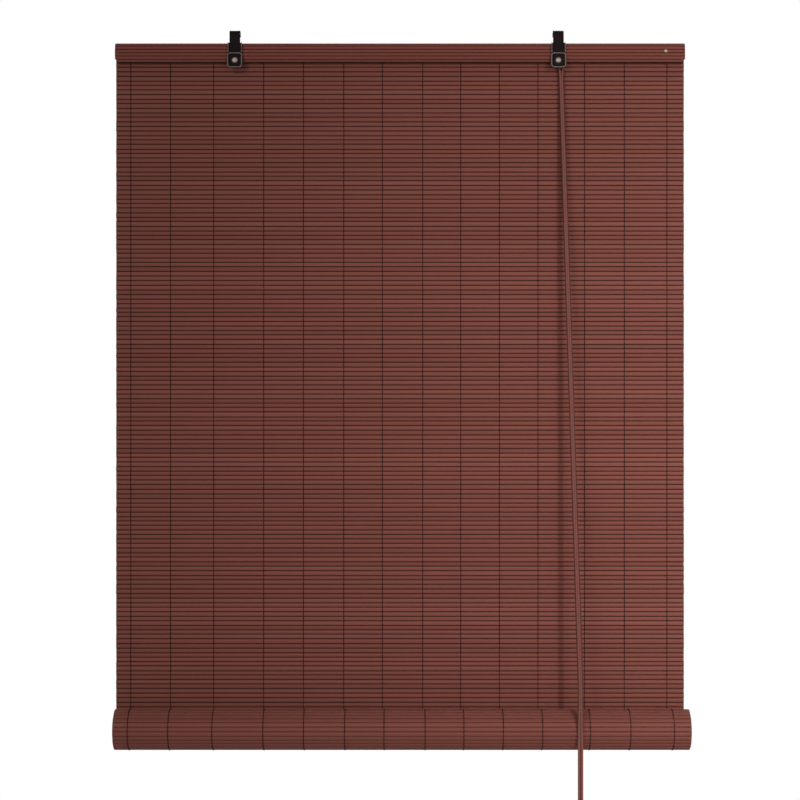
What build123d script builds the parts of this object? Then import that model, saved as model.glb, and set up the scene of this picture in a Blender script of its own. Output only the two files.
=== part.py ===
from build123d import *
import math
import os

# Bamboo roll-up blind, partly rolled up. A mat of flat slats, woven together with warp threads,
# is folded over a wooden batten at its head and wound round a rod at its foot. Two pressed steel
# hooks carry the batten, and a doubled pull cord hangs from an eye beside the right-hand hook.
# Millimetres. +X runs along the slats, +Y to the back, +Z up. The origin lies on the axis of the
# rail that both hooks hang on, midway along the blind.

# Slats of the mat
blind_width = 800.0
slat_pitch = 6.39
slat_gap = 1.2
slat_thickness = 1.8
seam_thickness = 0.5
mat_slat_count = 146

# Roll at the foot
roll_seam_radius = 29.1
core_seam_radius = 12.9
turn_pitch = 3.5
roll_shift = 2.7
rod_end_inset = 2.0
rod_flat_share = 0.6

# Head, where the mat's end is folded over the batten
head_drop = 11.0
batten_depth = 10.0
batten_height = 24.4
batten_end_inset = 1.5
fold_cut = 3.7
fold_gap = 0.9
flap_length = 18.5
flap_slat_count = 4
back_slat_count = 4

# Warp threads, placed across the width from its left edge
thread_width = 1.4
thread_thickness = 0.5
thread_turn_slats = 27
thread_shares = (
    0.026, 0.096, 0.172, 0.260, 0.330, 0.401, 0.469,
    0.540, 0.607, 0.675, 0.743, 0.825, 0.895, 0.970,
)

# Hooks
rail_radius = 5.0
left_hook_inset = 168.5
right_hook_inset = 178.0
strap_width = 15.0
strap_thickness = 1.5
strap_tail = 1.5
bracket_width = 19.6
bracket_thickness = 1.0
flange_height = 3.5
bend_radius = 0.8
plate_size = 20.6
plate_corner = 4.5
plate_floor = 1.0
rim_height = 3.0
rim_width = 1.2
strap_foot_margin = 2.0

# Screws and nail
screw_drop = 36.0
screw_head_radius = 4.1
screw_head_height = 2.6
screw_head_edge = 1.1
screw_shank_radius = 1.75
screw_length = 13.5
screw_point = 3.0
slot_width = 1.1
slot_depth = 1.2
slot_length = 4.4
nail_inset = 27.0
nail_drop = 22.4
nail_head_radius = 2.4
nail_head_height = 1.2
nail_head_edge = 0.5
nail_shank_radius = 0.8
nail_length = 11.0
nail_point = 1.6

# Cord eye and pull cord
eye_offset = 4.5
eye_wire_radius = 0.9
eye_ring_radius = 3.5
eye_shank_length = 12.0
cord_radius = 1.9
cord_lean = 22.3
cord_straight = 20.0
cord_run_in = 45.0
cord_bend_share = 0.45
cord_tail = 128.0
pull_height = 46.0
pull_base_radius = 8.0
pull_belly_radius = 10.5
pull_top_radius = 6.0
pull_belly_share = 0.35
pull_socket_depth = 14.0

# Clearances
run_gap = 0.3
fit_gap = 0.1
drill_gap = 0.05
cut_overrun = 2.0

# Places along the blind, from its ends
left_hook_x = left_hook_inset - blind_width / 2
right_hook_x = blind_width / 2 - right_hook_inset
nail_x = blind_width / 2 - nail_inset
eye_x = right_hook_x + eye_offset

# Planes of the head, from front to back
strap_back_y = -rail_radius
strap_front_y = strap_back_y - strap_thickness
flap_front_y = strap_back_y + bracket_thickness
batten_front_y = flap_front_y + slat_thickness
batten_back_y = batten_front_y + batten_depth
flap_y = batten_front_y - slat_thickness / 2
mat_y = batten_back_y + slat_thickness / 2
plate_floor_y = strap_front_y - plate_floor
plate_front_y = plate_floor_y - rim_height

# Levels of the head, from the top down
head_top_z = -head_drop
fold_top_z = head_top_z - slat_thickness / 2
batten_top_z = head_top_z - slat_thickness
batten_bottom_z = batten_top_z - batten_height
screw_z = -screw_drop
plate_top_z = screw_z + plate_size / 2
plate_bottom_z = screw_z - plate_size / 2

# Roll axis, below the hanging mat
mat_bottom_z = batten_bottom_z - mat_slat_count * slat_pitch
roll_z = mat_bottom_z - run_gap
roll_y = mat_y - roll_seam_radius

# Cord
eye_y = batten_front_y + batten_depth / 2
ring_z = batten_bottom_z - eye_ring_radius - eye_wire_radius
cord_top_offset = eye_wire_radius + cord_radius + fit_gap
cord_foot_offset = cord_radius + fit_gap
cord_top_z = ring_z - eye_ring_radius
cord_front_y = roll_y - roll_seam_radius - slat_thickness / 2 - run_gap - cord_radius
cord_foot_x = eye_x + cord_lean
cord_split_z = roll_z + cord_run_in
pull_top_z = roll_z - cord_tail
cord_end_z = pull_top_z - pull_socket_depth


def evenly(start, end, count):
    """Points that divide the way from start to end into count equal slats, the first left out."""
    return [start + (end - start) * (step / count) for step in range(1, count + 1)]


def slat_normals(seams):
    """Unit normal of each slat in a chain of (y, z) seam points."""
    directions = [(end - start).normalized() for start, end in zip(seams, seams[1:])]
    return [Vector(-direction.Y, direction.X) for direction in directions]


def mitred_line(seams, offset):
    """The chain's line moved sideways by offset, mitred at each seam."""
    normals = slat_normals(seams)
    line = []
    for seam, before, after in zip(seams, normals[:1] + normals, normals + normals[-1:]):
        middle = (before + after).normalized()
        line.append(seam + middle * (offset / middle.dot(after)))
    return line


def slat_side(seams, gap, side):
    """One side of the chain: a flat for each slat and a V groove at each seam."""
    seam_points = mitred_line(seams, side * seam_thickness / 2)
    points = []
    for start, end, normal, groove in zip(seams, seams[1:], slat_normals(seams), seam_points):
        trim = (end - start).normalized() * (gap / 2)
        out = normal * (side * slat_thickness / 2)
        points += [groove, start + trim + out, end - trim + out]
    return points + seam_points[-1:]


def across(outline, width, middle_x=0):
    """A closed outline of (y, z) points drawn out along X."""
    face = Plane.YZ * make_face(Polyline(*outline, close=True))
    return Pos(middle_x - width / 2, 0, 0) * extrude(face, amount=width, dir=(1, 0, 0))


def woven_slats(seams, gap, middle_x=0):
    """One length of mat, as a wall of slats joined at thin seams."""
    outline = slat_side(seams, gap, 1) + slat_side(seams, gap, -1)[::-1]
    return across(outline, blind_width, middle_x)


def head_seams():
    """Seams of the folded end: up the front flap, over the batten and down its back."""
    fold_z = fold_top_z - fold_cut
    flap_end = Vector(flap_y, fold_z - flap_length)
    flap_top = Vector(flap_y, fold_z)
    back_top = Vector(mat_y, fold_z)
    seams = [flap_end] + evenly(flap_end, flap_top, flap_slat_count)
    seams += [Vector(flap_y + fold_cut, fold_top_z), Vector(mat_y - fold_cut, fold_top_z), back_top]
    return seams + evenly(back_top, Vector(mat_y, batten_bottom_z), back_slat_count)


def mat_seams():
    """Seams of the hanging mat, from the batten's foot down to the roll."""
    top = Vector(mat_y, batten_bottom_z)
    return [top] + evenly(top, Vector(mat_y, mat_bottom_z), mat_slat_count)


def roll_seams():
    """Seams of the roll: from the mat at the back, down, round the front and inwards to the rod."""
    seams = []
    turned = 0
    radius = roll_seam_radius
    while radius > core_seam_radius:
        seams.append(Vector(roll_y + radius * math.cos(turned), roll_z - radius * math.sin(turned)))
        turned += 2 * math.asin(slat_pitch / 2 / radius)
        radius = roll_seam_radius - turn_pitch * turned / math.tau
    return seams


def along_y(radius, front_y, back_y, x, z):
    """Round bar along Y between two planes."""
    bar = Rot(90, 0, 0) * Cylinder(radius, back_y - front_y)
    return Pos(x, (front_y + back_y) / 2, z) * bar


def block(low_x, high_x, low_y, high_y, low_z, high_z):
    """Box between six planes."""
    box = Box(high_x - low_x, high_y - low_y, high_z - low_z)
    return Pos((low_x + high_x) / 2, (low_y + high_y) / 2, (low_z + high_z) / 2) * box


def screw_hole(x, gap):
    """Cutter for a hook screw's shank, from the cup down to the screw's point."""
    back_y = plate_floor_y + screw_length + drill_gap
    return along_y(screw_shank_radius + gap, plate_front_y, back_y, x, screw_z)


def nail_hole(gap):
    """Cutter for the nail's shank."""
    back_y = flap_front_y + nail_length + drill_gap
    return along_y(nail_shank_radius + gap, flap_front_y - cut_overrun, back_y, nail_x, -nail_drop)


def make_batten():
    """Wooden batten with its top edges bevelled to suit the fold."""
    bevel = fold_cut - slat_thickness / 2 * (2 - math.sqrt(2))
    outline = [
        Vector(batten_front_y, batten_bottom_z),
        Vector(batten_front_y, batten_top_z - bevel),
        Vector(batten_front_y + bevel, batten_top_z),
        Vector(batten_back_y - bevel, batten_top_z),
        Vector(batten_back_y, batten_top_z - bevel),
        Vector(batten_back_y, batten_bottom_z),
    ]
    batten = across(outline, blind_width - 2 * batten_end_inset)
    for x in (left_hook_x, right_hook_x):
        batten -= screw_hole(x, drill_gap)
    shank = Cylinder(eye_wire_radius + drill_gap, 2 * eye_shank_length + 2 * drill_gap)
    return batten - nail_hole(drill_gap) - Pos(eye_x, eye_y, batten_bottom_z) * shank


def make_head_wrap():
    """The mat's end, folded over the batten and drilled for the screws and the nail."""
    wrap = woven_slats(head_seams(), fold_gap)
    for x in (left_hook_x, right_hook_x):
        wrap -= screw_hole(x, fit_gap)
    return wrap - nail_hole(fit_gap)


def make_rod():
    """Round foot rod, planed flat where the mat's last slat is glued to it."""
    seams = roll_seams()
    axis = Vector(roll_y, roll_z)
    outward = slat_normals(seams)[-1]
    flat = (seams[-1] - axis).dot(outward) - slat_thickness / 2
    growth = turn_pitch * slat_pitch / (math.tau * flat)
    radius = flat + rod_flat_share * growth
    length = blind_width - 2 * rod_end_inset
    rod = Rot(0, 90, 0) * Cylinder(radius, length)
    turn = math.degrees(math.atan2(outward.Y, outward.X))
    planed = block(-length, length, flat, flat + radius, -radius, radius)
    return Pos(roll_shift, roll_y, roll_z) * (rod - Rot(turn, 0, 0) * planed)


def make_warp_thread(x):
    """The two strands of a warp thread, in front of the hanging mat and behind it."""
    front_y = mat_y - slat_thickness / 2
    back_y = mat_y + slat_thickness / 2
    half = thread_width / 2
    front = block(x - half, x + half, front_y - thread_thickness, front_y, mat_bottom_z, batten_bottom_z)
    back = block(x - half, x + half, back_y, back_y + thread_thickness, mat_bottom_z, batten_bottom_z)
    return front + back


def make_roll_thread(x):
    """The same thread round the outer turn of the roll."""
    seams = roll_seams()[: thread_turn_slats + 1]
    inner = mitred_line(seams, slat_thickness / 2)
    outer = mitred_line(seams, slat_thickness / 2 + thread_thickness)
    return across(inner + outer[::-1], thread_width, x + roll_shift)


def make_hook_strap(x):
    """Steel strap that runs up the front of the head and curls back over the rail."""
    outer_radius = rail_radius + strap_thickness
    ring = Circle(outer_radius) - Circle(rail_radius)
    curl = ring & Pos(0, outer_radius / 2) * Rectangle(2 * outer_radius, outer_radius)
    curl = extrude(Plane.YZ * curl, amount=strap_width, dir=(1, 0, 0))
    left_x = x - strap_width / 2
    right_x = x + strap_width / 2
    leg_foot_z = plate_bottom_z + strap_foot_margin
    leg = block(left_x, right_x, strap_front_y, strap_back_y, leg_foot_z, 0)
    tail = block(left_x, right_x, rail_radius, outer_radius, -strap_tail, 0)
    return Pos(left_x, 0, 0) * curl + leg + tail - screw_hole(x, fit_gap)


def make_hook_bracket(x):
    """Channel behind the strap, with a flange at each side and a foot behind the cup plate."""
    front_y = strap_back_y - flange_height
    half = bracket_width / 2
    inner = half - bracket_thickness
    flange_foot_z = plate_top_z + run_gap
    foot_z = plate_bottom_z + strap_foot_margin
    channel = block(x - half, x + half, front_y, flap_front_y, flange_foot_z, head_top_z)
    bends = channel.edges().filter_by(Axis.Z).group_by(Axis.Y)[-1]
    channel = fillet(bends, bend_radius)
    channel -= block(x - inner, x + inner, front_y, strap_back_y, flange_foot_z, head_top_z)
    web = block(x - inner, x + inner, strap_back_y, flap_front_y, foot_z, flange_foot_z)
    return channel + web - screw_hole(x, fit_gap)


def make_cup_plate(x):
    """Square pressed cup with rounded corners and a raised rim, open to the front."""
    outside = RectangleRounded(plate_size, plate_size, plate_corner)
    inside_size = plate_size - 2 * rim_width
    inside = RectangleRounded(inside_size, inside_size, plate_corner - rim_width)
    cup = extrude(outside, amount=plate_floor + rim_height)
    cup -= Pos(0, 0, plate_floor) * extrude(inside, amount=rim_height)
    return Pos(x, strap_front_y, screw_z) * Rot(90, 0, 0) * cup - screw_hole(x, fit_gap)


def make_fastener(head_radius, head_height, head_edge, shank_radius, length, point):
    """Domed head on a pointed shank, its seat at the origin and its shank along +Y."""
    crown = (0, -head_height)
    brim = (head_radius, -head_edge)
    dome = TangentArc(crown, brim, tangent=(1, 0))
    outline = Polyline(
        brim, (head_radius, 0), (shank_radius, 0), (shank_radius, length - point), (0, length), crown
    )
    return revolve(make_face(Curve() + [dome, outline]), Axis.Y)


def make_hook_screw(x):
    """Pan-head wood screw with a cross recess."""
    screw = make_fastener(
        screw_head_radius, screw_head_height, screw_head_edge, screw_shank_radius, screw_length, screw_point
    )
    front_y = -screw_head_height
    floor_y = front_y + slot_depth
    half_width = slot_width / 2
    half_length = slot_length / 2
    screw -= block(-half_length, half_length, front_y, floor_y, -half_width, half_width)
    screw -= block(-half_width, half_width, front_y, floor_y, -half_length, half_length)
    return Pos(x, plate_floor_y, screw_z) * screw


def make_head_nail():
    """Small nail that holds the flap to the batten near its right end."""
    nail = make_fastener(
        nail_head_radius, nail_head_height, nail_head_edge, nail_shank_radius, nail_length, nail_point
    )
    return Pos(nail_x, flap_front_y, -nail_drop) * nail


def make_cord_eye():
    """Screw eye under the batten, its ring in the YZ plane."""
    ring = Rot(0, 90, 0) * Torus(eye_ring_radius, eye_wire_radius)
    shank_foot_z = batten_bottom_z - eye_wire_radius
    shank_top_z = batten_bottom_z + eye_shank_length
    shank = Cylinder(eye_wire_radius, shank_top_z - shank_foot_z)
    shank = Pos(eye_x, eye_y, (shank_foot_z + shank_top_z) / 2) * shank
    return Pos(eye_x, eye_y, ring_z) * ring + shank


def strand_route(side):
    """A strand of the pull cord: down from the eye, leaning out past the roll's front, then plumb."""
    top_x = eye_x + side * cord_top_offset
    closed_x = eye_x + side * cord_foot_offset
    foot_x = cord_foot_x + side * cord_foot_offset
    return [
        Vector(top_x, eye_y, cord_top_z),
        Vector(closed_x, eye_y, cord_top_z - cord_straight),
        Vector(foot_x, cord_front_y, cord_split_z + cord_straight),
        Vector(foot_x, cord_front_y, cord_split_z + run_gap),
    ]


def corner_radii(route):
    """The largest tangent arc that each corner of a route leaves room for."""
    radii = []
    for before, corner, after in zip(route, route[1:], route[2:]):
        first = corner - before
        second = after - corner
        half_turn = math.radians(first.get_angle(second)) / 2
        radii.append(cord_bend_share * min(first.length, second.length) / math.tan(half_turn))
    return radii


def make_upper_strand(side):
    """Upper strand of the cord. The left one also passes over the eye's wire to the right one."""
    route = strand_route(side)
    path = FilletPolyline(*route, radius=corner_radii(route))
    start = route[0]
    heading = route[1] - route[0]
    if side < 0:
        start = route[0] + Vector(2 * cord_top_offset, 0, 0)
        crown = route[0] + Vector(cord_top_offset, 0, cord_top_offset)
        path = ThreePointArc(start, crown, route[0]) + path
        heading = Vector(0, 0, 1)
    return sweep(Plane(origin=start, z_dir=heading) * Circle(cord_radius), path=path)


def make_lower_strand(side):
    """Lower strand of the cord, in front of the roll and down into the cord pull."""
    strand = Cylinder(cord_radius, cord_split_z - cord_end_z)
    x = cord_foot_x + side * cord_foot_offset
    return Pos(x, cord_front_y, (cord_split_z + cord_end_z) / 2) * strand


def make_cord_pull():
    """Turned wooden pull with a socket in its top for both strands."""
    belly_z = pull_height * pull_belly_share
    belly = ThreePointArc((pull_base_radius, 0), (pull_belly_radius, belly_z), (pull_top_radius, pull_height))
    outline = Polyline((pull_top_radius, pull_height), (0, pull_height), (0, 0), (pull_base_radius, 0))
    pull = Rot(90, 0, 0) * revolve(make_face(Curve() + [belly, outline]), Axis.Y)
    socket_radius = cord_foot_offset + cord_radius + fit_gap
    socket = Pos(0, 0, pull_height) * Cylinder(socket_radius, 2 * pull_socket_depth)
    return Pos(cord_foot_x, cord_front_y, pull_top_z - pull_height) * (pull - socket)


nodes = {
    "head_batten": make_batten(),
    "head_wrap": make_head_wrap(),
    "slat_mat": woven_slats(mat_seams(), slat_gap),
    "slat_roll": woven_slats(roll_seams(), slat_gap, roll_shift),
    "bottom_rod": make_rod(),
    "head_nail": make_head_nail(),
    "cord_eye": make_cord_eye(),
    "cord_pull": make_cord_pull(),
}
for side_name, hook_x in (("left", left_hook_x), ("right", right_hook_x)):
    nodes[f"{side_name}_hook_strap"] = make_hook_strap(hook_x)
    nodes[f"{side_name}_hook_bracket"] = make_hook_bracket(hook_x)
    nodes[f"{side_name}_cup_plate"] = make_cup_plate(hook_x)
    nodes[f"{side_name}_hook_screw"] = make_hook_screw(hook_x)
for side_name, side in (("left", -1), ("right", 1)):
    nodes[f"pull_cord_upper_{side_name}"] = make_upper_strand(side)
    nodes[f"pull_cord_lower_{side_name}"] = make_lower_strand(side)
for number, share in enumerate(thread_shares, start=1):
    thread_x = (share - 1 / 2) * blind_width
    nodes[f"warp_thread_{number:02d}"] = make_warp_thread(thread_x)
    nodes[f"roll_thread_{number:02d}"] = make_roll_thread(thread_x)

os.makedirs("parts", exist_ok=True)
for name, solid in nodes.items():
    export_step(solid, f"parts/{name}.step")
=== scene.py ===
"""Bamboo roll-up blind: slats, threads, cord, finishes, light and camera, in metres round the frame."""

import math
import random
from collections import namedtuple

import bpy
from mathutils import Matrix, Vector


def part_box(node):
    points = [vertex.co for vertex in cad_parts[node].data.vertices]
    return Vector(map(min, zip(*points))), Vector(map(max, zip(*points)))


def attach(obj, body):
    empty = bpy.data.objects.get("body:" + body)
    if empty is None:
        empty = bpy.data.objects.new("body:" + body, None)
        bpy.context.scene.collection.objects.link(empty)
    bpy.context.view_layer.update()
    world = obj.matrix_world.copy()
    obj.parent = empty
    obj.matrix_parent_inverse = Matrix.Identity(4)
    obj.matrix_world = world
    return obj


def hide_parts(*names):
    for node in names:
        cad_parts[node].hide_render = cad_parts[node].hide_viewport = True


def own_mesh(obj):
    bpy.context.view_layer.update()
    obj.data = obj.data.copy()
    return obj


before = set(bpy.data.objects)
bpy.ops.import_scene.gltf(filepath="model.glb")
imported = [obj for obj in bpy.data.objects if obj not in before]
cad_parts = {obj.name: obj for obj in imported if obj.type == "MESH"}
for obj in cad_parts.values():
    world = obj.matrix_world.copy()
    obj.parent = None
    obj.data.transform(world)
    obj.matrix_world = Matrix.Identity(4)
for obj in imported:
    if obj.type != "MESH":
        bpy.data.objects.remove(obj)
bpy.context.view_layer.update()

MM = 0.001

# Slats of the hanging mat; the top ones are a piece of their own, apart from the rest
mat_low, mat_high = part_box("slat_mat")
BLIND_WIDTH = mat_high.x - mat_low.x
SLAT_THICKNESS = mat_high.y - mat_low.y
MAT_Y = (mat_low.y + mat_high.y) / 2
MAT_TOP = mat_high.z
MAT_BOTTOM = mat_low.z
MAT_SLATS = 146
TOP_SLATS = 8
SLAT_PITCH = (MAT_TOP - MAT_BOTTOM) / MAT_SLATS
SLAT_GAP = 1.35 * MM
SLAT_EDGE = 0.22 * MM
SLAT_SEGMENTS = 6
SLAT_TRIM_SHARE = 0.0009
SLAT_END_FACING = 0.5
# Seam bars fill the gaps between slats and carry painted shade there
SEAM_THICKNESS = 0.5 * MM
SEAM_OVERLAP = 0.3 * MM
SEAM_SEED = 31
MAT_JITTER_SHARE = 0.09

# Ripple of a slat's faces: its height, how fast it comes along the slat and how far slats differ in it
RIPPLE = 0.3 * MM
RIPPLE_RATE = 9.0
RIPPLE_APART = 900.0
RIPPLE_DETAIL = 1.0
NOISE_MIDDLE = 0.5
NOISE_DETAIL = 2.0

# Fold over the batten
wrap_low, wrap_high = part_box("head_wrap")
FLAP_Y = wrap_low.y + SLAT_THICKNESS / 2
FOLD_TOP = wrap_high.z - SLAT_THICKNESS / 2
FOLD_CUT = 3.7 * MM
FLAP_LENGTH = 18.5 * MM
FLAP_SLATS = 4
BACK_SLATS = 4

# Roll at the foot
roll_low, roll_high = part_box("slat_roll")
ROLL_RADIUS = 29.1 * MM
ROLL_GAP = 0.3 * MM
CORE_RADIUS = 12.9 * MM
TURN_PITCH = 3.5 * MM
ROLL_JITTER_SHARE = 0.05
ROLL_X = (roll_low.x + roll_high.x) / 2
ROLL_Y = MAT_Y - ROLL_RADIUS
ROLL_Z = MAT_BOTTOM - ROLL_GAP

# Twined warp threads; the hug is how long a strand keeps to one face before it crosses to the other
THREAD_COUNT = 14
MAT_THREAD_RADIUS = 0.54 * MM
ROLL_THREAD_RADIUS = 0.62 * MM
ROLL_THREAD_SLATS = 27
ROLL_THREAD_START_SHARE = 0.3
THREAD_SIDES = 4
THREAD_CUTS = 5
THREAD_HUG = 2.2
THREAD_SWAY_SHARE = 0.25
THREAD_PROUD_SHARE = 0.5

# Pull cord: its given route, one side and then the other
eye_low, eye_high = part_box("cord_eye")
strand_low, strand_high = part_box("pull_cord_lower_left")
CORD_RADIUS = 1.9 * MM
CORD_TOP_SPREAD = 2.9 * MM
CORD_FOOT_SPREAD = 1.85 * MM
CORD_STRAIGHT = 20.0 * MM
CORD_SPLIT_GAP = 0.3 * MM
CORD_CLOSE_SHARE = 0.5
CORD_LEAN_SHARES = (0.02, 0.06, 0.5, 0.94)
CORD_MIDDLE_SHARE = 0.5
EYE_WIRE = 1.8 * MM
EYE_X = (eye_low.x + eye_high.x) / 2
EYE_Y = (eye_low.y + eye_high.y) / 2
CORD_TOP = eye_low.z + EYE_WIRE / 2
CORD_FOOT_X = (strand_low.x + strand_high.x) / 2 + CORD_FOOT_SPREAD
CORD_FOOT_Y = (strand_low.y + strand_high.y) / 2
CORD_SPLIT = strand_high.z
CORD_END = strand_low.z
LOOP_STEPS = 8
CORD_STEPS = 24
CORD_ORDER = 3
CORD_BEVEL_STEPS = 3

# Painted shade stored on the cord: on the outer flanks above the roll, then a little all over and more on the
# inner flanks
PAINTED_SHADE_FADE = 60.0 * MM
LOW_PAINTED_SHADE_SHARE = 0.14
LOW_INNER_PAINTED_SHADE_SHARE = 0.36

# Camera and studio: two broad lamps stand level with the blind, a narrow one gives the cord's shadow, a
# high one the hooks' shadows, and one lights the back. Beams are in degrees and powers in watts
CAMERA_PLACE = Vector((0.0, -2.7, -0.512))
CAMERA_LENS = 86.5
FLOOR_Z = -1.9
FLOOR_SIZE = 7.0
SURROUND_FILL = 0.18
Lamp = namedtuple("Lamp", "place aim width height beam power")
LAMPS = {
    "right_lamp": Lamp((1.4, -2.1, -0.50), (1.1, 0.0, -0.55), 1.8, 1.2, 62.0, 6.0),
    "key_lamp": Lamp((1.9, -4.6, 1.0), (0.9, 0.0, -0.64), 0.10, 0.5, 30.0, 5.3),
    "left_lamp": Lamp((-1.1, -2.3, -0.40), (-0.2, 0.0, -0.5), 1.4, 1.2, 160.0, 11.2),
    "high_lamp": Lamp((-1.9, -4.6, 1.4), (-0.1, 0.0, -0.62), 1.2, 0.4, 70.0, 10.0),
    "back_lamp": Lamp((0.0, 2.8, 0.4), (0.0, 0.0, -0.5), 1.2, 1.2, 160.0, 34.0),
}

# Colours, linear
MAT_TONES = ((0.124, 0.037, 0.027), (0.152, 0.047, 0.035), (0.180, 0.059, 0.045))
# The roll's tones are the mat's made lighter, as painted light; the fold's are darker, as painted shade, and
# redder
ROLL_LIT_TONES = ((0.133, 0.040, 0.029), (0.163, 0.050, 0.038), (0.192, 0.063, 0.048))
FOLD_SHADED_TONES = ((0.123, 0.033, 0.023), (0.144, 0.040, 0.028), (0.166, 0.048, 0.036))
# Painted shade on the seam bars in the gaps between slats
MAT_GAP_SHADE = (0.056, 0.0165, 0.0125)
ROLL_GAP_SHADE = (0.112, 0.034, 0.025)
FOLD_GAP_SHADE = (0.056, 0.016, 0.012)
WOOD_DARK = (0.092, 0.026, 0.019)
WOOD_LIGHT = (0.125, 0.036, 0.026)
THREAD_DARK = (0.010, 0.004, 0.004)
THREAD_LIGHT = (0.026, 0.010, 0.008)
PAINT_BLACK = (0.0095, 0.006, 0.0065)
# Worn steel, also a painted highlight on the hooks' front edges
WORN_STEEL_HIGHLIGHT = (0.19, 0.145, 0.13)
BRIGHT_STEEL = (0.21, 0.175, 0.15)
CORD_DARK = (0.176, 0.062, 0.051)
CORD_LIGHT = (0.305, 0.116, 0.096)
# Painted shade on the cord's flanks and between its two strands
CORD_PAINTED_SHADE = (0.030, 0.008, 0.006)
FLOOR_PALE = (0.80, 0.80, 0.80)
SURROUND_WHITE = (1.0, 1.0, 1.0)

# Surfaces: roughness, how much a pattern adds to it, gloss, and the strength and depth of the relief
Surface = namedtuple("Surface", "roughness uneven gloss relief depth", defaults=(0.0, 0.5, 0.0, 0.0))
BAMBOO = Surface(roughness=0.45, uneven=0.2, gloss=0.08, relief=0.35, depth=0.1 * MM)
WOOD = Surface(roughness=0.5, gloss=0.1, relief=0.3, depth=0.2 * MM)
THREAD = Surface(roughness=0.85, gloss=0.05)
PAINT = Surface(roughness=0.40, uneven=0.14, gloss=0.02, relief=0.15, depth=0.1 * MM)
STEEL = Surface(roughness=0.36, uneven=0.2)
CORD = Surface(roughness=0.8, gloss=0.1, relief=0.6, depth=0.3 * MM)
FLOOR = Surface(roughness=0.9)

# Stained bamboo: its patterns' scales along X, Y and Z, their shares in the stain and its three stops
STREAK_SCALES = (5.0, 700.0, 700.0)
STREAK_DETAIL = 3.0
PATCH_SCALES = (3.0, 40.0, 40.0)
GRAIN_SCALES = (30.0, 2600.0, 2600.0)
TONE_SHARE = 0.42
STREAK_SHARE = 0.55
PATCH_SHARE = 0.28
STAIN_SHIFT = 0.13
STAIN_STOPS = (0.10, 0.50, 0.92)

# Patterns of the other finishes, and how deep the hooks' front edges are rubbed and lit by a painted
# highlight
WOOD_SCALES = (4.0, 420.0, 420.0)
WOOD_DETAIL = 4.0
WOOD_STOPS = (0.3, 0.7)
FIBRE_SCALE = 2600.0
SPECKLE_SCALE = 900.0
SPECKLE_DETAIL = 3.0
SPECKLE_STOPS = (0.25, 0.5)
PEEL_SCALE = 500.0
SMEAR_SCALE = 700.0
SMEAR_DETAIL = 3.0
BRAID_PITCH = 6.0 * MM
BRAID_TURNS = 4
CUP_WEAR_AND_HIGHLIGHT = 0.4 * MM
BRACKET_WEAR_AND_HIGHLIGHT = 0.5 * MM


class Wire:
    """A socket's value. Arithmetic on it adds Math nodes to its tree."""

    def __init__(self, tree, socket):
        self.tree = tree
        self.socket = socket

    def maths(self, operation, *values):
        return add(self.tree, "ShaderNodeMath", {"operation": operation}, *values)[0]

    def __add__(self, other):
        return self.maths("ADD", self, other)

    def __radd__(self, other):
        return self.maths("ADD", other, self)

    def __sub__(self, other):
        return self.maths("SUBTRACT", self, other)

    def __rsub__(self, other):
        return self.maths("SUBTRACT", other, self)

    def __mul__(self, other):
        return self.maths("MULTIPLY", self, other)

    def __rmul__(self, other):
        return self.maths("MULTIPLY", other, self)

    def __truediv__(self, other):
        return self.maths("DIVIDE", self, other)

    def sine(self):
        return self.maths("SINE", self)

    def cosine(self):
        return self.maths("COSINE", self)

    def between(self, low, high):
        """0 below low, 1 above high and straight between them."""
        ramp = {"interpolation_type": "LINEAR", "clamp": True}
        sockets = {"Value": self, "From Min": low, "From Max": high}
        return add(self.tree, "ShaderNodeMapRange", ramp, **sockets)["Result"]


class Outputs:
    """A node's outputs as wires, by place, name or identifier."""

    def __init__(self, tree, node):
        self.tree = tree
        self.node = node

    def __getitem__(self, key):
        return Wire(self.tree, find_socket(self.node.outputs, key))


def find_socket(sockets, key):
    """A socket by its place, its identifier or its name."""
    if isinstance(key, int):
        return sockets[key]
    named = [socket for socket in sockets if socket.identifier == key]
    return named[0] if named else sockets[key]


def plug(tree, socket, value):
    """Links a wire to a socket, or sets the socket's own value."""
    if isinstance(value, Wire):
        tree.links.new(value.socket, socket)
    else:
        socket.default_value = value


def add(tree, kind, settings=None, *values, **sockets):
    """Adds a node: its settings first, then the values or links of its sockets."""
    node = tree.nodes.new(kind)
    for name, value in (settings or {}).items():
        setattr(node, name, value)
    for key, value in list(enumerate(values)) + list(sockets.items()):
        plug(tree, find_socket(node.inputs, key), value)
    return Outputs(tree, node)


def feed(tree, node, **sockets):
    """Links or sets the sockets of a node that is there, their names given with underscores."""
    for name, value in sockets.items():
        plug(tree, node.inputs[name.replace("_", " ")], value)


def vector_maths(tree, operation, *values, **sockets):
    return add(tree, "ShaderNodeVectorMath", {"operation": operation}, *values, **sockets)


def combine(tree, x, y, z):
    return add(tree, "ShaderNodeCombineXYZ", None, x, y, z)[0]


def axes(tree, vector):
    """The X, Y and Z of a vector."""
    return add(tree, "ShaderNodeSeparateXYZ", None, vector)


def covering(colour):
    """A colour as a socket takes it: a wire, or a plain triple at full cover."""
    return colour if isinstance(colour, Wire) else (*colour, 1.0)


def blend_colours(tree, factor, first, second):
    """Mix of two colours, of which either may be a plain triple."""
    sockets = {"Factor_Float": factor, "A_Color": covering(first), "B_Color": covering(second)}
    return add(tree, "ShaderNodeMix", {"data_type": "RGBA"}, **sockets)["Result_Color"]


def noise(tree, vector, scale, detail=NOISE_DETAIL):
    return add(tree, "ShaderNodeTexNoise", None, Vector=vector, Scale=scale, Detail=detail)["Fac"]


def streaked(tree, place, scales, detail=NOISE_DETAIL):
    """Noise with a scale of its own along each axis."""
    return noise(tree, vector_maths(tree, "MULTIPLY", place, scales)[0], 1.0, detail)


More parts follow.
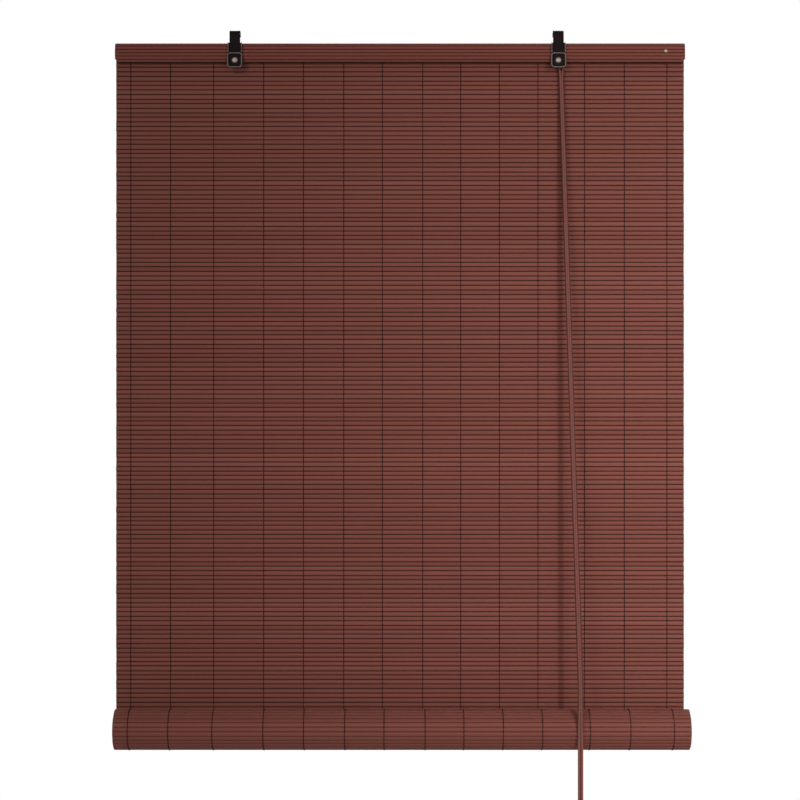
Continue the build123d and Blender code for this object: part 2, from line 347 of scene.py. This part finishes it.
def stored_value(tree, name):
    """A number that the mesh stores under a name."""
    return add(tree, "ShaderNodeAttribute", {"attribute_name": name})["Fac"]


def new_finish(name):
    """A new material: its tree, its shader and its Object coordinates."""
    material = bpy.data.materials.new(name)
    material.use_nodes = True
    tree = material.node_tree
    shader = tree.nodes["Principled BSDF"]
    place = add(tree, "ShaderNodeTexCoord")["Object"]
    return material, tree, shader, place


def coat(tree, shader, surface, colour, pattern=None, relief=None):
    """Gives the shader its colour and surface, made uneven by a pattern and raised by a relief."""
    roughness = surface.roughness
    if pattern is not None:
        roughness = roughness + surface.uneven * pattern
    feed(tree, shader, Base_Color=covering(colour), Roughness=roughness, Specular_IOR_Level=surface.gloss)
    if relief is not None:
        sockets = {"Strength": surface.relief, "Distance": surface.depth, "Height": relief}
        feed(tree, shader, Normal=add(tree, "ShaderNodeBump", None, **sockets)["Normal"])


def bamboo_finish(name, tones, gap_shade_colour):
    """Stained bamboo: a tone for each slat, fine streaks along it and a thin satin lacquer, with painted
    shade on the seam bars between slats.
    """
    dark, middle, light = tones
    low, half, high = STAIN_STOPS
    material, tree, shader, place = new_finish(name)
    streaks = streaked(tree, place, STREAK_SCALES, STREAK_DETAIL)
    patches = streaked(tree, place, PATCH_SCALES)
    grain = streaked(tree, place, GRAIN_SCALES)
    tone = stored_value(tree, "tone")
    stain = tone * TONE_SHARE + streaks * STREAK_SHARE + patches * PATCH_SHARE - STAIN_SHIFT
    darker = blend_colours(tree, stain.between(low, half), dark, middle)
    slat = blend_colours(tree, stain.between(half, high), darker, light)
    # Painted shade on the seam bars between slats
    colour = blend_colours(tree, stored_value(tree, "seam"), slat, gap_shade_colour)
    coat(tree, shader, BAMBOO, colour, pattern=streaks, relief=grain)
    return material


def turned_wood_finish():
    """Stained softwood with grain along the blind."""
    material, tree, shader, place = new_finish("batten_wood")
    grain = streaked(tree, place, WOOD_SCALES, WOOD_DETAIL)
    colour = blend_colours(tree, grain.between(*WOOD_STOPS), WOOD_DARK, WOOD_LIGHT)
    coat(tree, shader, WOOD, colour, relief=grain)
    return material


def thread_finish():
    """Dark spun thread."""
    material, tree, shader, place = new_finish("warp_thread")
    colour = blend_colours(tree, noise(tree, place, FIBRE_SCALE), THREAD_DARK, THREAD_LIGHT)
    coat(tree, shader, THREAD, colour)
    return material


def painted_finish(name, front=None, worn_lit_depth=None):
    """Black paint. Where a front is given, it is rubbed through to the steel there and lightened by a painted
    edge highlight, as deep as the wear.
    """
    material, tree, shader, place = new_finish(name)
    speckle = noise(tree, place, SPECKLE_SCALE, SPECKLE_DETAIL)
    colour = PAINT_BLACK
    if front is not None:
        # Rubbed paint and a painted edge highlight on the front-most faces
        rubbed_and_lit = (front + worn_lit_depth - axes(tree, place)["Y"]).between(0.0, worn_lit_depth) * speckle.between(*SPECKLE_STOPS)
        colour = blend_colours(tree, rubbed_and_lit, PAINT_BLACK, WORN_STEEL_HIGHLIGHT)
    coat(tree, shader, PAINT, colour, pattern=speckle, relief=noise(tree, place, PEEL_SCALE))
    return material


def bright_finish():
    """Plated steel with a warm cast."""
    material, tree, shader, place = new_finish("bright_steel")
    coat(tree, shader, STEEL, BRIGHT_STEEL, pattern=noise(tree, place, SMEAR_SCALE, SMEAR_DETAIL))
    feed(tree, shader, Metallic=1.0)
    return material


def cord_finish():
    """Braided cord: crossing diagonals round and down the strand, darker where painted shade is stored on it.
    """
    material, tree, shader, place = new_finish("pull_cord")
    wrapped = add(tree, "ShaderNodeUVMap", {"uv_map": "UVMap"})["UV"]
    along = axes(tree, place)["Z"] * (math.tau / BRAID_PITCH)
    around = axes(tree, wrapped)["Y"] * (BRAID_TURNS * math.tau)
    braid = ((along + around).sine() * (along - around).sine()).between(-1.0, 1.0)
    braided = blend_colours(tree, braid, CORD_DARK, CORD_LIGHT)
    # Painted shade: the braid darkens where the strand stores shade
    colour = blend_colours(tree, stored_value(tree, "painted_shade"), braided, CORD_PAINTED_SHADE)
    coat(tree, shader, CORD, colour, relief=braid)
    return material


def floor_finish():
    material, tree, shader, _ = new_finish("floor")
    coat(tree, shader, FLOOR, FLOOR_PALE)
    return material


def at(y, z, x=0.0):
    """A point of the blind's section, or at a place along the blind."""
    return Vector((x, y, z))


def spaced(start, end, count):
    """Points that divide the way from start to end into count equal parts, the first left out."""
    return [start.lerp(end, step / count) for step in range(1, count + 1)]


def fold_seams():
    """Seams of the mat's end: up the flap, over the batten and down its back."""
    fold_z = FOLD_TOP - FOLD_CUT
    flap_end = at(FLAP_Y, fold_z - FLAP_LENGTH)
    back_top = at(MAT_Y, fold_z)
    seams = [flap_end] + spaced(flap_end, at(FLAP_Y, fold_z), FLAP_SLATS)
    seams += [at(FLAP_Y + FOLD_CUT, FOLD_TOP), at(MAT_Y - FOLD_CUT, FOLD_TOP), back_top]
    return seams + spaced(back_top, at(MAT_Y, MAT_TOP), BACK_SLATS)


def mat_seams(draw):
    """Seams of the hanging mat from the top down, a little uneven."""
    seams = [at(MAT_Y, MAT_TOP)]
    for step in range(1, MAT_SLATS):
        shift = draw.uniform(-MAT_JITTER_SHARE, MAT_JITTER_SHARE)
        seams.append(at(MAT_Y, MAT_TOP - (step + shift) * SLAT_PITCH))
    return seams + [at(MAT_Y, MAT_BOTTOM)]


def roll_seams(draw):
    """Seams of the roll: from the mat down, round the front and inwards to the rod."""
    seams = []
    turned = 0.0
    radius = ROLL_RADIUS
    while radius > CORE_RADIUS:
        seams.append(at(ROLL_Y + radius * math.cos(turned), ROLL_Z - radius * math.sin(turned), ROLL_X))
        width = SLAT_PITCH * (1 + draw.uniform(-ROLL_JITTER_SHARE, ROLL_JITTER_SHARE))
        turned += 2 * math.asin(width / 2 / radius)
        radius = ROLL_RADIUS - TURN_PITCH * turned / math.tau
    return seams


def new_object(name, data):
    made = bpy.data.objects.new(name, data)
    bpy.context.scene.collection.objects.link(made)
    return made


def plain_mesh(source):
    """The mesh that an object comes to, with its modifiers or its bevel."""
    graph = bpy.context.evaluated_depsgraph_get()
    return bpy.data.meshes.new_from_object(source.evaluated_get(graph))


def new_tree(name, inputs):
    """A geometry tree with named inputs. Gives the tree and its input wires."""
    tree = bpy.data.node_groups.new(name, "GeometryNodeTree")
    tree.interface.new_socket("Geometry", in_out="INPUT", socket_type="NodeSocketGeometry")
    for label, kind in inputs.items():
        tree.interface.new_socket(label, in_out="INPUT", socket_type=f"NodeSocket{kind}")
    tree.interface.new_socket("Geometry", in_out="OUTPUT", socket_type="NodeSocketGeometry")
    return tree, add(tree, "NodeGroupInput")


def close_tree(tree, geometry, given):
    """Ends a tree in Realize Instances and Set Material."""
    whole = add(tree, "GeometryNodeRealizeInstances", None, Geometry=geometry)["Geometry"]
    sockets = {"Geometry": whole, "Material": given["Material"]}
    done = add(tree, "GeometryNodeSetMaterial", None, **sockets)["Geometry"]
    add(tree, "NodeGroupOutput", None, Geometry=done)
    return tree


def rectangle(tree, width, height):
    sockets = {"Width": width, "Height": height}
    return add(tree, "GeometryNodeCurvePrimitiveQuadrilateral", None, **sockets)["Curve"]


def swept(tree, line, section):
    """A closed bar: a section carried along a line."""
    sockets = {"Curve": line, "Profile Curve": section, "Fill Caps": True}
    return add(tree, "GeometryNodeCurveToMesh", None, **sockets)["Mesh"]


def joined(tree, parts):
    whole = add(tree, "GeometryNodeJoinGeometry")
    for part in parts:
        plug(tree, whole.node.inputs[0], part)
    return whole[0]


def store(tree, geometry, domain, name, value):
    """Stores a number on the geometry under a name."""
    settings = {"data_type": "FLOAT", "domain": domain}
    sockets = {"Geometry": geometry, "Name": name, "Value": value}
    return add(tree, "GeometryNodeStoreNamedAttribute", settings, **sockets)["Geometry"]


def recall(tree, name, kind):
    """What the geometry stores under a name."""
    return add(tree, "GeometryNodeInputNamedAttribute", {"data_type": kind}, Name=name)["Attribute"]


def random_share(tree, seed):
    """A number from 0 to 1 for each element."""
    return add(tree, "FunctionNodeRandomValue", {"data_type": "FLOAT"}, Seed=seed)["Value_001"]


def slat_and_seam(tree, given):
    """A bevelled slat along X and the thin seam bar inside it, which shows in the gap between slats and
    carries painted shade there, each marked by its seam value.
    """
    half = combine(tree, given["Length"] / 2, 0.0, 0.0)
    other_half = vector_maths(tree, "SCALE", half, Scale=-1.0)[0]
    line = add(tree, "GeometryNodeCurvePrimitiveLine", None, Start=other_half, End=half)["Curve"]
    line = add(tree, "GeometryNodeResampleCurve", None, Curve=line, Count=SLAT_SEGMENTS + 1)["Curve"]
    sharp = rectangle(tree, given["Width"] - given["Gap"], given["Thickness"])
    sockets = {"Curve": sharp, "Count": 1, "Radius": given["Edge"]}
    slat = add(tree, "GeometryNodeFilletCurve", {"mode": "POLY"}, **sockets)["Curve"]
    seam = rectangle(tree, given["Width"] + given["Seam Overlap"], given["Seam Thickness"])
    bars = []
    for section, mark in ((slat, 0.0), (seam, 1.0)):
        bars.append(store(tree, swept(tree, line, section), "POINT", "seam", mark))
    return joined(tree, bars)


def slat_tree():
    """A slat and its seam on each point, as wide as the point's step, with a tone and a ripple of its own."""
    inputs = {
        "Length": "Float", "Width": "Float", "Gap": "Float", "Thickness": "Float", "Edge": "Float",
        "Seam Overlap": "Float", "Seam Thickness": "Float", "Ripple": "Float", "Seed": "Int",
        "Material": "Material",
    }
    tree, given = new_tree("slats", inputs)
    step = recall(tree, "step", "FLOAT_VECTOR")
    lengthwise = {"primary_axis": "X", "secondary_axis": "Y"}
    sockets = {"Primary Axis": (1.0, 0.0, 0.0), "Secondary Axis": step}
    turn = add(tree, "FunctionNodeAxesToRotation", lengthwise, **sockets)["Rotation"]
    width_share = vector_maths(tree, "LENGTH", step)["Value"] / given["Width"]
    trim = random_share(tree, given["Seed"] + 1)
    scale = combine(tree, 1.0 - trim * SLAT_TRIM_SHARE, width_share, 1.0)
    slat = slat_and_seam(tree, given)
    sockets = {"Points": given["Geometry"], "Instance": slat, "Rotation": turn, "Scale": scale}
    row = add(tree, "GeometryNodeInstanceOnPoints", None, **sockets)["Instances"]
    row = store(tree, row, "INSTANCE", "tone", random_share(tree, given["Seed"]))
    row = add(tree, "GeometryNodeRealizeInstances", None, Geometry=row)["Geometry"]

    x = axes(tree, add(tree, "GeometryNodeInputPosition")[0])["X"]
    lane = recall(tree, "tone", "FLOAT") * RIPPLE_APART
    wander = noise(tree, combine(tree, x * RIPPLE_RATE, lane, 0.0), 1.0, RIPPLE_DETAIL)
    facing = add(tree, "GeometryNodeInputNormal")[0]
    height = (wander - NOISE_MIDDLE) * given["Ripple"]
    ripple = vector_maths(tree, "SCALE", facing, Scale=height)[0]
    row = add(tree, "GeometryNodeSetPosition", None, Geometry=row, Offset=ripple)["Geometry"]
    return close_tree(tree, row, given)


def thread_tree():
    """Two strands twined along a chain of seams, crossing at each seam."""
    inputs = {"Place": "Float", "Reach": "Float", "Radius": "Float", "Material": "Material"}
    tree, given = new_tree("twined_thread", inputs)
    chain = add(tree, "GeometryNodeMeshToCurve", None, Mesh=given["Geometry"])["Curve"]
    chain = add(tree, "GeometryNodeSubdivideCurve", None, Curve=chain, Cuts=THREAD_CUTS)["Curve"]
    along = axes(tree, add(tree, "GeometryNodeInputTangent")[0])
    phase = add(tree, "GeometryNodeInputIndex")[0] * (math.pi / (THREAD_CUTS + 1))
    hug = (phase.sine() * THREAD_HUG).between(-1.0, 1.0) * 2.0 - 1.0
    sway = phase.cosine() * given["Radius"]
    sockets = {"Resolution": THREAD_SIDES, "Radius": given["Radius"]}
    section = add(tree, "GeometryNodeCurvePrimitiveCircle", None, **sockets)["Curve"]
    strands = []
    for side in (-1.0, 1.0):
        out = hug * given["Reach"] * side
        sideways = given["Place"] + sway * (side * THREAD_SWAY_SHARE)
        offset = combine(tree, sideways, 0.0 - along["Z"] * out, along["Y"] * out)
        strand = add(tree, "GeometryNodeSetPosition", None, Geometry=chain, Offset=offset)["Geometry"]
        strands.append(swept(tree, strand, section))
    return close_tree(tree, joined(tree, strands), given)


def grown(name, base, tree, **values):
    """The plain mesh that a geometry tree makes of a base mesh, as a new object."""
    source = new_object(name + "_base", base)
    modifier = source.modifiers.new("grow", "NODES")
    modifier.node_group = tree
    sockets = {item.name: item.identifier for item in tree.interface.items_tree if item.in_out == "INPUT"}
    for label, value in values.items():
        modifier[sockets[label.replace("_", " ")]] = value
    mesh = plain_mesh(source)
    source.modifiers.remove(modifier)
    bpy.data.objects.remove(source)
    mesh.name = name
    return new_object(name, mesh)


def smooth_sides(piece):
    """Smooth shading on the long sides, flat on the ends."""
    for face in piece.data.polygons:
        face.use_smooth = abs(face.normal.x) < SLAT_END_FACING


def smooth_all(mesh):
    for face in mesh.polygons:
        face.use_smooth = True


def give_finish(mesh, finish):
    """Puts one material on a mesh in place of any other."""
    mesh.materials.clear()
    mesh.materials.append(finish)


def slat_row(name, seams, seed, tree, material):
    """Slats between the seams of a chain."""
    base = bpy.data.meshes.new(name + "_points")
    pairs = list(zip(seams, seams[1:]))
    base.from_pydata([(start + end) / 2 for start, end in pairs], [], [])
    steps = base.attributes.new("step", "FLOAT_VECTOR", "POINT")
    for item, (start, end) in zip(steps.data, pairs):
        item.vector = end - start
    piece = grown(
        name, base, tree,
        Length=BLIND_WIDTH, Width=SLAT_PITCH, Gap=SLAT_GAP, Thickness=SLAT_THICKNESS, Edge=SLAT_EDGE,
        Seam_Overlap=SEAM_OVERLAP, Seam_Thickness=SEAM_THICKNESS, Ripple=RIPPLE, Seed=seed,
        Material=material,
    )
    smooth_sides(piece)
    return piece


def twined(name, seams, place, radius, tree, material):
    """One warp thread along a chain of seams."""
    base = bpy.data.meshes.new(name + "_chain")
    chain = [at(seam.y, seam.z) for seam in seams]
    base.from_pydata(chain, [(step, step + 1) for step in range(len(chain) - 1)], [])
    reach = SLAT_THICKNESS / 2 + radius * THREAD_PROUD_SHARE
    piece = grown(name, base, tree, Place=place, Reach=reach, Radius=radius, Material=material)
    smooth_all(piece.data)
    return piece


def cord_strand(name, points, material):
    """A strand of cord as a mesh tube. Gives the tube and the line that it follows."""
    curve = bpy.data.curves.new(name, "CURVE")
    curve.dimensions = "3D"
    curve.resolution_u = CORD_STEPS
    spline = curve.splines.new("NURBS")
    spline.points.add(len(points) - 1)
    for knot, point in zip(spline.points, points):
        knot.co = (*point, 1.0)
    spline.order_u = CORD_ORDER
    spline.use_endpoint_u = True
    bare = new_object(name + "_line", curve)
    line = [vertex.co.copy() for vertex in plain_mesh(bare).vertices]
    curve.bevel_depth = CORD_RADIUS
    curve.bevel_resolution = CORD_BEVEL_STEPS
    curve.use_fill_caps = True
    mesh = plain_mesh(bare)
    bpy.data.objects.remove(bare)
    give_finish(mesh, material)
    smooth_all(mesh)
    return new_object(name, mesh), line


def paint_strand_shade(strand, side):
    """Stores painted shade on a strand: on its outer flank above the roll, and a little on its inner one
    below.
    """
    painted_shade = strand.data.attributes.new("painted_shade", "FLOAT", "POINT")
    for item, vertex in zip(painted_shade.data, strand.data.vertices):
        outer = (1 + side * vertex.normal.x) / 2
        inner = LOW_PAINTED_SHADE_SHARE + LOW_INNER_PAINTED_SHADE_SHARE * (1 - outer)
        lowered = min(max((CORD_SPLIT - vertex.co.z) / PAINTED_SHADE_FADE, 0.0), 1.0)
        item.value = outer + (inner - outer) * lowered


def gather(piece):
    """Gives a piece of the hanging mat a mesh of its own."""
    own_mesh(piece)


def dress_slats():
    """Slats of the fold, the hanging mat and the roll."""
    tree = slat_tree()
    fold = bamboo_finish("fold_bamboo", FOLD_SHADED_TONES, FOLD_GAP_SHADE)
    hung = bamboo_finish("mat_bamboo", MAT_TONES, MAT_GAP_SHADE)
    wound = bamboo_finish("roll_bamboo", ROLL_LIT_TONES, ROLL_GAP_SHADE)
    draw = random.Random(SEAM_SEED)
    hanging = mat_seams(draw)
    rolled = roll_seams(draw)
    rows = {
        "head_fold_slats": ("head_wrap", fold_seams(), "head", fold),
        "upper_mat_slats": ("slat_mat", hanging[: TOP_SLATS + 1], "head", hung),
        "lower_mat_slats": ("slat_mat", hanging[TOP_SLATS:], "head", hung),
        "roll_slats": ("slat_roll", rolled, "roll", wound),
    }
    for seed, (name, (node, seams, body, finish)) in enumerate(rows.items()):
        piece = slat_row(name, seams, seed, tree, finish)
        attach(piece, body)
        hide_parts(node)
        if name == "lower_mat_slats":
            gather(piece)
    return hanging, rolled


def dress_threads(hanging, rolled, material):
    """Warp threads on the hanging mat and round the roll's outer turn."""
    tree = thread_tree()
    wound = [rolled[0].lerp(rolled[1], ROLL_THREAD_START_SHARE)] + rolled[1 : ROLL_THREAD_SLATS + 1]
    for number in range(1, THREAD_COUNT + 1):
        runs = (
            (f"warp_thread_{number:02d}", "head", hanging, MAT_THREAD_RADIUS),
            (f"roll_thread_{number:02d}", "roll", wound, ROLL_THREAD_RADIUS),
        )
        for node, body, seams, radius in runs:
            low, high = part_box(node)
            piece = twined(node + "_twine", seams, (low.x + high.x) / 2, radius, tree, material)
            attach(piece, body)
            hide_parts(node)
            if body == "head":
                gather(piece)


def loop_over_eye():
    """Half circle over the eye's wire, from the right strand's top to just short of the left one's."""
    turns = [math.pi * step / LOOP_STEPS for step in range(LOOP_STEPS)]
    return [
        at(EYE_Y, CORD_TOP + CORD_TOP_SPREAD * math.sin(turn), EYE_X + CORD_TOP_SPREAD * math.cos(turn))
        for turn in turns
    ]


def upper_route(side, top, split):
    """One side of the cord above the split: close below the eye, leaning out past the roll, then straight."""
    rise = at(0.0, CORD_STRAIGHT)
    closed = at(EYE_Y, CORD_TOP, EYE_X + side * CORD_FOOT_SPREAD) - rise * CORD_CLOSE_SHARE
    lean = [closed.lerp(split + rise, share) for share in CORD_LEAN_SHARES]
    points = [top, closed, *lean, split + rise, split + at(0.0, CORD_SPLIT_GAP)]
    return loop_over_eye() + points if side < 0 else points


def dress_cord(material):
    """Two strands from the eye to the cord pull, each in two pieces: one above the split and one below."""
    for side_name, side in (("left", -1), ("right", 1)):
        top = at(EYE_Y, CORD_TOP, EYE_X + side * CORD_TOP_SPREAD)
        split = at(CORD_FOOT_Y, CORD_SPLIT, CORD_FOOT_X + side * CORD_FOOT_SPREAD)
        end = at(CORD_FOOT_Y, CORD_END, CORD_FOOT_X + side * CORD_FOOT_SPREAD)
        points = upper_route(side, top, split)
        lower_points = [split, split.lerp(end, CORD_MIDDLE_SHARE), end]
        upper, line = cord_strand(f"upper_cord_{side_name}", points, material)
        lower, lower_line = cord_strand(f"lower_cord_{side_name}", lower_points, material)
        for piece, part, body in ((upper, "upper", "head"), (lower, "lower", "roll")):
            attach(piece, body)
            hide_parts(f"pull_cord_{part}_{side_name}")
            paint_strand_shade(piece, side)
        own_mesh(upper)


def dress_fittings():
    """Finishes of the pieces that keep their own solids."""
    wood = turned_wood_finish()
    steel = bright_finish()
    paint = painted_finish("strap_paint")
    cup_low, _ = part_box("left_cup_plate")
    bracket_low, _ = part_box("left_hook_bracket")
    hook = {
        "hook_strap": paint,
        "hook_bracket": painted_finish("bracket_paint", bracket_low.y, BRACKET_WEAR_AND_HIGHLIGHT),
        "cup_plate": painted_finish("cup_paint", cup_low.y, CUP_WEAR_AND_HIGHLIGHT),
        "hook_screw": steel,
    }
    dressed = {"head_batten": wood, "bottom_rod": wood, "cord_pull": wood}
    dressed |= {"head_nail": steel, "cord_eye": paint}
    for side_name in ("left", "right"):
        for piece, finish in hook.items():
            dressed[f"{side_name}_{piece}"] = finish
    for node, finish in dressed.items():
        give_finish(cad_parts[node].data, finish)


def add_softbox(name, lamp):
    """A soft lamp that faces its aim."""
    light = bpy.data.lights.new(name, "AREA")
    light.shape = "RECTANGLE"
    light.size = lamp.width
    light.size_y = lamp.height
    light.spread = math.radians(lamp.beam)
    light.energy = lamp.power
    place = Vector(lamp.place)
    holder = new_object(name, light)
    holder.location = place
    holder.rotation_euler = (Vector(lamp.aim) - place).to_track_quat("-Z", "Y").to_euler()


def build_studio():
    """Pale floor well below the blind, soft lamps in front and behind, and a white surround."""
    half = FLOOR_SIZE / 2
    mesh = bpy.data.meshes.new("floor")
    corners = [(x, y, FLOOR_Z) for x, y in ((-half, -half), (half, -half), (half, half), (-half, half))]
    mesh.from_pydata(corners, [], [(0, 1, 2, 3)])
    give_finish(mesh, floor_finish())
    new_object("floor", mesh)

    for name, lamp in LAMPS.items():
        add_softbox(name, lamp)

    world = bpy.data.worlds.new("studio")
    bpy.context.scene.world = world
    world.use_nodes = True
    tree = world.node_tree
    path = add(tree, "ShaderNodeLightPath")
    seen = path["Is Camera Ray"] + path["Is Glossy Ray"] + path["Is Transmission Ray"]
    strength = seen.between(0.0, 1.0) * (1 - SURROUND_FILL) + SURROUND_FILL
    feed(tree, tree.nodes["Background"], Color=covering(SURROUND_WHITE), Strength=strength)


def place_camera():
    """A level camera that looks along +Y."""
    camera = bpy.data.cameras.new("camera")
    camera.lens = CAMERA_LENS
    holder = new_object("camera", camera)
    holder.location = CAMERA_PLACE
    holder.rotation_euler = (math.radians(90), 0.0, 0.0)
    bpy.context.scene.camera = holder


bpy.context.scene.view_settings.view_transform = "Standard"
place_camera()
hanging_seams, rolled_seams = dress_slats()
dress_threads(hanging_seams, rolled_seams, thread_finish())
dress_cord(cord_finish())
dress_fittings()
build_studio()
